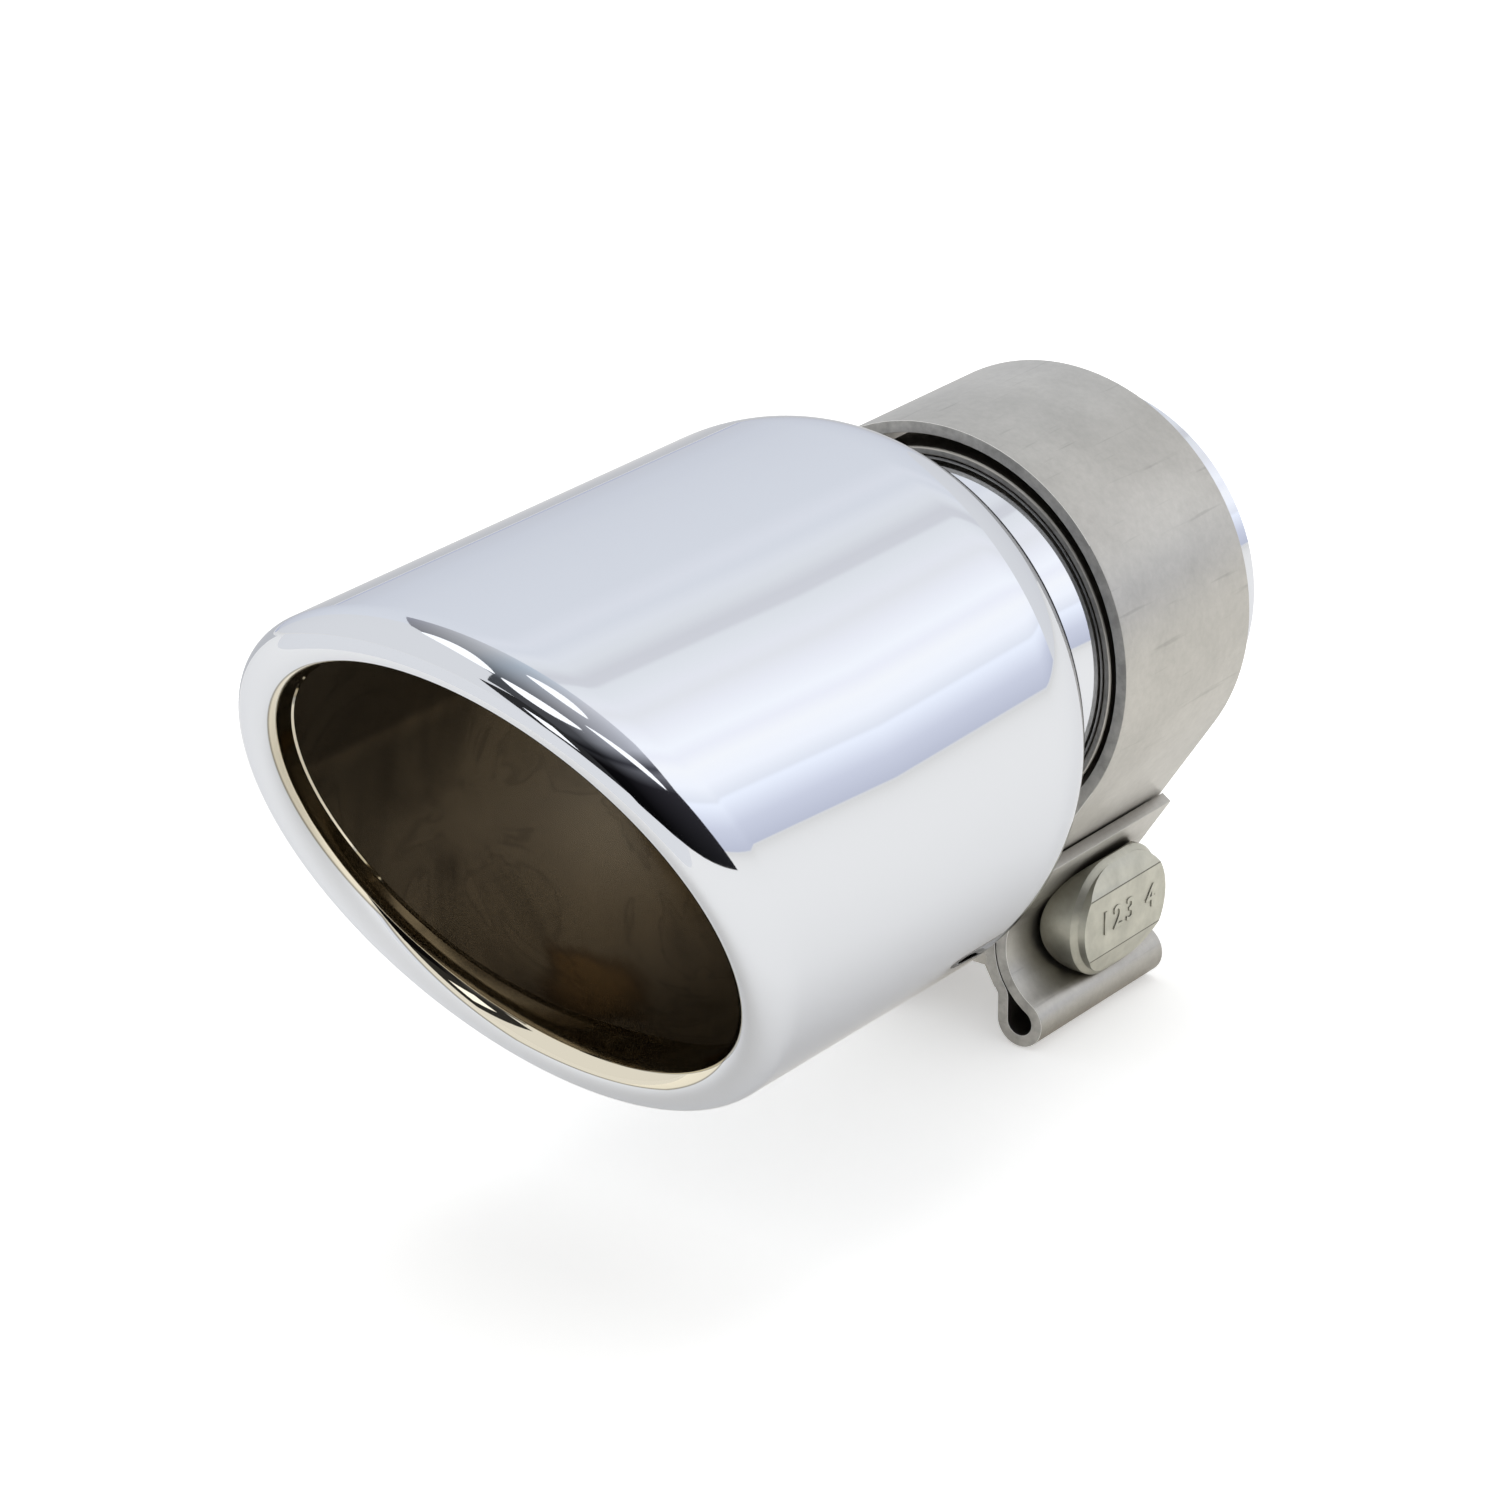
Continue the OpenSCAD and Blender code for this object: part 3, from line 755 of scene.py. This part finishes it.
def stage_sheet(name, radius, edges, finish):
    """A curved sheet round the tip's axis, given as (angle above level, y from, y to) at its stations."""
    sheet = bmesh.new()
    pairs = []
    for (angle, low, high), after in zip(edges, edges[1:] + [edges[-1]]):
        steps = max(1, math.ceil((after[0] - angle) / 4.0))
        for i in range(steps):
            share = i / steps
            v = math.radians(angle + (after[0] - angle) * share)
            pairs.append([sheet.verts.new((radius * math.cos(v), y + (far - y) * share, radius * math.sin(v)))
                          for y, far in ((low, after[1]), (high, after[2]))])
    for near, far in zip(pairs, pairs[1:]):
        sheet.faces.new((near[0], near[1], far[1], far[0]))
    return only_mirrored(finish_mesh(name, sheet, [finish]))


def stage_strip(name, places, width, finish):
    """A narrow bright strip, pointed at both ends, bent through three (angle, y) places."""
    first, middle, last = (Vector(place) for place in places)
    pull = middle * 2 - (first + last) / 2
    edges = []
    for i in range(STRIP_STEPS + 1):
        t = i / STRIP_STEPS
        angle, y = first * (1 - t) ** 2 + pull * 2 * t * (1 - t) + last * t ** 2
        half = width / 2 * (0.05 + math.sin(math.pi * t)) ** 0.7
        edges.append((angle, y - half, y + half))
    return stage_sheet(name, STRIP_RADIUS, sorted(edges), finish)


def tent_finish(name, level, turns, stops, reach=None, along=None):
    """Glow of a tent's cloth: colours from one angle above level to another, times a shade along y."""
    made, tree = empty_material(name)
    place = node(tree, "ShaderNodeTexCoord").outputs["Object"]
    apart = node(tree, "ShaderNodeSeparateXYZ", {0: place})
    turn = node(tree, "ShaderNodeMath", {0: apart.outputs[2], 1: apart.outputs[0]}, operation="ARCTAN2")
    share = node(tree, "ShaderNodeMapRange", {"Value": turn.outputs[0], "From Min": math.radians(turns[0]),
                                              "From Max": math.radians(turns[1])})
    tint = colour_ramp(tree, share.outputs[0], [
        ((angle - turns[0]) / (turns[1] - turns[0]), colour) for angle, colour in stops])
    if along:
        share = node(tree, "ShaderNodeMapRange", {"Value": apart.outputs[1], "From Min": reach[0],
                                                  "From Max": reach[1]})
        dimmer = colour_ramp(tree, share.outputs[0], [
            ((y - reach[0]) / (reach[1] - reach[0]), (value, value, value)) for y, value in along])
        tint = multiplied(tree, tint, (dimmer,))
    light = node(tree, "ShaderNodeEmission", {"Color": tint, "Strength": level})
    node(tree, "ShaderNodeOutputMaterial", {"Surface": light.outputs[0]})
    return made


def card_finish(name, level):
    """A card that glows evenly."""
    made, tree = empty_material(name)
    light = node(tree, "ShaderNodeEmission", {"Strength": level})
    node(tree, "ShaderNodeOutputMaterial", {"Surface": light.outputs[0]})
    return made


class BUILD_OT_stage(bpy.types.Operator):
    """Lays the floor, hangs the cards and the lamp and sets the camera"""

    bl_idname = "exhaust_tip.stage"
    bl_label = "Studio and camera"

    def execute(self, context):
        s = context.scene.tip_stage
        self.lay_floor(s)
        self.light_room(context.scene, s)
        self.hang_cards()
        self.set_camera(context.scene, s)
        context.scene.view_settings.view_transform = "Standard"
        return {"FINISHED"}

    def lay_floor(self, s):
        """Pale paper under the object. It shows white to the camera and keeps the shadow."""
        floor = bmesh.new()
        bmesh.ops.create_grid(floor, x_segments=1, y_segments=1, size=FLOOR_HALF)
        bmesh.ops.translate(floor, vec=(0, 0, CAD_BOX[0][2] - FLOOR_GAP), verts=floor.verts)
        paper, tree = empty_material("floor_paper")
        flat = node(tree, "ShaderNodeBsdfDiffuse", {"Color": rgba(s.paper)})
        camera_ray, seen = seen_rays(tree)
        tint = node(tree, "ShaderNodeMix", {"Factor": camera_ray}, data_type="RGBA")
        tint.inputs[6].default_value = rgba(shade(WARM_PAPER, s.floor_glow))
        tint.inputs[7].default_value = rgba([s.floor_white] * 3)
        glow = node(tree, "ShaderNodeEmission", {"Color": tint.outputs[2], "Strength": seen})
        both = node(tree, "ShaderNodeAddShader", {0: flat.outputs[0], 1: glow.outputs[0]})
        node(tree, "ShaderNodeOutputMaterial", {"Surface": both.outputs[0]})
        finish_mesh("paper_floor", floor, [paper])

    def light_room(self, scene, s):
        """A white room that the camera and the metal see as white, and one soft lamp overhead."""
        world = bpy.data.worlds.new("white_room")
        world.use_nodes = True
        tree = world.node_tree
        tree.nodes.clear()
        camera_ray, seen = seen_rays(tree)
        level = node(tree, "ShaderNodeMapRange", {"Value": seen, "To Min": s.world_level, "To Max": 1.0})
        room = node(tree, "ShaderNodeBackground", {"Strength": level.outputs[0]})
        room.inputs["Color"].default_value = (1.0, 1.0, 1.0, 1.0)
        node(tree, "ShaderNodeOutputWorld", {"Surface": room.outputs[0]})
        scene.world = world
        lamp = bpy.data.lights.new("soft_lamp", "AREA")
        lamp.shape = "SQUARE"
        lamp.size = LAMP_SIZE
        lamp.energy = s.lamp_power
        holder = bpy.data.objects.new("soft_lamp", lamp)
        holder.location = LAMP_PLACE
        holder.visible_camera = False
        holder.visible_glossy = False
        scene.collection.objects.link(holder)

    def hang_cards(self):
        """The tent, the grey flag and its strips, the dark side of the room and the pale floor sheets."""
        cloth = tent_finish("tent_cloth", 1.4, (0.0, 182.0), [
            (0.0, (0.53, 0.55, 0.64)), (9.0, (0.64, 0.66, 0.75)), (18.5, (0.88, 0.91, 0.98)),
            (19.5, (0.88, 0.91, 0.98)), (20.5, (0.80, 0.82, 0.87)), (27.0, (0.94, 0.95, 0.98)),
            (34.0, (0.97, 0.97, 0.97)), (39.5, (0.90, 0.90, 0.94)), (44.0, (0.95, 0.96, 0.98)),
            (53.0, (0.87, 0.87, 0.90)), (59.5, (0.81, 0.81, 0.82)), (64.5, (0.83, 0.83, 0.85)),
            (70.0, (0.80, 0.81, 0.82)), (75.0, (0.77, 0.78, 0.79)), (76.5, (0.67, 0.67, 0.69)),
            (80.5, (0.66, 0.66, 0.68)), (86.5, (0.75, 0.76, 0.77)), (92.0, (0.77, 0.78, 0.80)),
            (98.0, (0.72, 0.735, 0.765)), (104.0, (0.75, 0.76, 0.79)), (112.0, (0.71, 0.725, 0.755)),
            (150.0, (0.71, 0.725, 0.755)), (165.0, (0.69, 0.705, 0.74)), (182.0, (0.62, 0.63, 0.66))])
        stage_sheet("tent_side", TENT_RADIUS, [(0.0, 0.2, 2.6), (182.0, 0.2, 2.6)], cloth)
        flag = tent_finish("grey_flag", 1.0, (-6.0, 126.0), [
            (-6.0, (0.02, 0.02, 0.022)), (24.0, (0.045, 0.042, 0.05)), (31.0, (0.28, 0.28, 0.31)),
            (34.0, (0.10, 0.10, 0.12)), (42.0, (0.75, 0.76, 0.82)), (62.0, (0.84, 0.84, 0.88)),
            (84.0, (0.72, 0.80, 0.88)), (96.0, (0.80, 0.81, 0.83)), (110.0, (0.66, 0.66, 0.68)),
            (126.0, (0.45, 0.45, 0.50))],
            (-0.42, 0.055),
            [(-0.42, 0.10), (-0.24, 0.12), (-0.14, 0.38), (-0.06, 0.62), (0.0, 0.78), (0.055, 1.0)])
        stage_sheet("grey_flag", FLAG_RADIUS, [
            (-6.0, -0.42, 0.045), (10.0, -0.42, 0.030), (25.0, -0.42, 0.022), (45.0, -0.42, 0.05),
            (79.0, -0.42, 0.055), (81.0, -0.225, 0.055), (96.0, -0.165, 0.055), (109.0, -0.125, 0.055),
            (119.0, -0.06, 0.055), (124.0, 0.0, 0.055), (128.0, 0.05, 0.055)], flag)
        white = card_finish("white_strips", 1.6)
        for name, places, width in (("strip_top", ((81, -0.200), (96, -0.143), (113, -0.105)), 0.075),
                                    ("strip_low", ((78, -0.205), (61, -0.217), (49, -0.155)), 0.10),
                                    ("strip_edge", ((79, -0.036), (67, -0.036), (56, -0.042)), 0.045),
                                    ("strip_long", ((52, -0.096), (38, -0.056), (25, -0.027)), 0.034)):
            stage_strip(name, places, width, white)
        dark = card_finish("dark_room", 0.035)
        stage_card("dark_camera_side", 143.0, 22.0, 1.4, 1.3, 1.3, dark)
        stage_card("panel_camera", 151.0, 17.0, 1.25, 0.30, 0.42, white)
        for name, level, middle, size in (("floor_left", 0.80, (-0.66, 1.2), (1.08, 2.5)),
                                          ("floor_front", 1.04, (-0.3, -1.0), (3.4, 1.6))):
            sheet = bmesh.new()
            bmesh.ops.create_grid(sheet, x_segments=1, y_segments=1, size=0.5)
            place = Matrix.Translation((*middle, CAD_BOX[0][2]))
            bmesh.ops.transform(sheet, matrix=place @ Matrix.Diagonal((*size, 1.0, 1.0)), verts=sheet.verts)
            only_mirrored(finish_mesh(name, sheet, [card_finish(name, level)]))

    def set_camera(self, scene, s):
        """The photograph's viewpoint."""
        level = math.cos(s.elevation)
        back = Vector((math.sin(s.azimuth) * level, -math.cos(s.azimuth) * level, math.sin(s.elevation)))
        right = Vector((math.cos(s.azimuth), math.sin(s.azimuth), 0.0))
        up = back.cross(right)
        lens = bpy.data.cameras.new("photo_camera")
        lens.lens = s.focal
        lens.sensor_width = SENSOR_WIDTH
        lens.clip_end = FAR_END
        camera = bpy.data.objects.new("photo_camera", lens)
        turn = Matrix((right, up, back)).transposed().to_4x4()
        camera.matrix_world = Matrix.Translation(Vector(s.aim) + back * s.distance) @ turn
        scene.collection.objects.link(camera)
        scene.camera = camera


class BUILD_PT_panel(bpy.types.Panel):
    """Lists the build steps and their settings"""

    bl_idname = "BUILD_PT_exhaust_tip"
    bl_label = "Exhaust tip"
    bl_space_type = "VIEW_3D"
    bl_region_type = "UI"
    bl_category = "Exhaust tip"

    def draw(self, context):
        for group, steps in ((context.scene.tip_shell, (BUILD_OT_shell,)),
                             (context.scene.tip_clamp, (BUILD_OT_clamp, BUILD_OT_bolt, BUILD_OT_small_parts)),
                             (context.scene.tip_stage, (BUILD_OT_stage,))):
            box = self.layout.box()
            for name in group.bl_rna.properties.keys():
                if name not in ("rna_type", "name"):
                    box.prop(group, name)
            for step in steps:
                box.operator(step.bl_idname)


GROUPS = {"tip_shell": ShellSettings, "tip_clamp": ClampSettings, "tip_stage": StageSettings}
CLASSES = (ShellSettings, ClampSettings, StageSettings, BUILD_OT_shell, BUILD_OT_clamp, BUILD_OT_bolt,
           BUILD_OT_small_parts, BUILD_OT_stage, BUILD_PT_panel)


def register():
    """Registers the settings, the build steps and the panel."""
    for entry in CLASSES:
        bpy.utils.register_class(entry)
    for name, group in GROUPS.items():
        setattr(bpy.types.Scene, name, PointerProperty(type=group))


def unregister():
    """Takes them off again."""
    for name in GROUPS:
        delattr(bpy.types.Scene, name)
    for entry in reversed(CLASSES):
        bpy.utils.unregister_class(entry)


def main():
    register()
    bpy.ops.exhaust_tip.shell()
    bpy.ops.exhaust_tip.clamp()
    bpy.ops.exhaust_tip.bolt()
    bpy.ops.exhaust_tip.small_parts()
    bpy.ops.exhaust_tip.stage()


if __name__ == "__main__":
    main()
